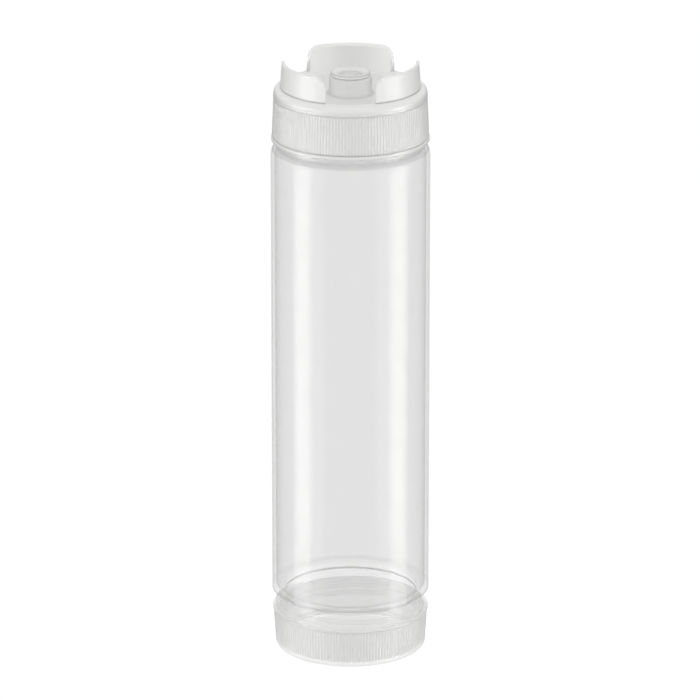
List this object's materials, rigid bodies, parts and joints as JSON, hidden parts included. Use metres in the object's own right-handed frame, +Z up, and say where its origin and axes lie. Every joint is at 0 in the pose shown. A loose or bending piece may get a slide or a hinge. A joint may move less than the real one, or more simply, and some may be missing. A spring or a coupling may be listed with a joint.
{
  "type": "squeeze bottle",
  "caption": "Clear tubular squeeze bottle for sauces, screw caps at both ends: a crowned dispensing cap with a slit valve on top and a ribbed refill cap as its foot.",
  "frame": {"origin": "centre of the refill cap's flat underside, on the surface the bottle stands on", "axes": "+Z up along the bottle's axis, towards the dispensing cap; -Y through the gap between two legs of the crown"},
  "size_m": [0.067, 0.067, 0.2585],
  "materials": {
    "clear_body": "clear, smooth, slightly hazy",
    "cap_plastic": "translucent, satin",
    "silicone": "soft, translucent, matt"
  },
  "bodies": {
    "bottle": {"bottle_body": "clear_body"},
    "dispensing_seal": {"dispensing_seal": "silicone"},
    "dispensing_cap": {"dispensing_cap": "cap_plastic", "dispensing_valve": "silicone", "valve_retainer": "cap_plastic"},
    "refill_seal": {"refill_seal": "silicone"},
    "refill_cap": {"refill_cap": "cap_plastic"}
  },
  "joints": [
    {"name": "dispensing_cap_lift", "type": "slide", "parent": "bottle", "child": "dispensing_seal", "axis": [0, 0, 1], "range_m": [0, 0.0305]},
    {"name": "dispensing_cap_turn", "type": "hinge", "parent": "dispensing_seal", "child": "dispensing_cap", "pos_m": [0, 0, 0.235], "axis": [0, 0, 1], "range_deg": [0, 1800]},
    {"name": "refill_cap_lower", "type": "slide", "parent": "bottle", "child": "refill_seal", "axis": [0, 0, -1], "range_m": [0, 0.0305]},
    {"name": "refill_cap_turn", "type": "hinge", "parent": "refill_seal", "child": "refill_cap", "pos_m": [0, 0, 0.01], "axis": [0, 0, -1], "range_deg": [0, 1800]}
  ],
  "couplings": [
    {"joint": "dispensing_cap_lift", "follows": "dispensing_cap_turn", "m_per_rad": 0.00095493},
    {"joint": "refill_cap_lower", "follows": "refill_cap_turn", "m_per_rad": 0.00095493}
  ]
}
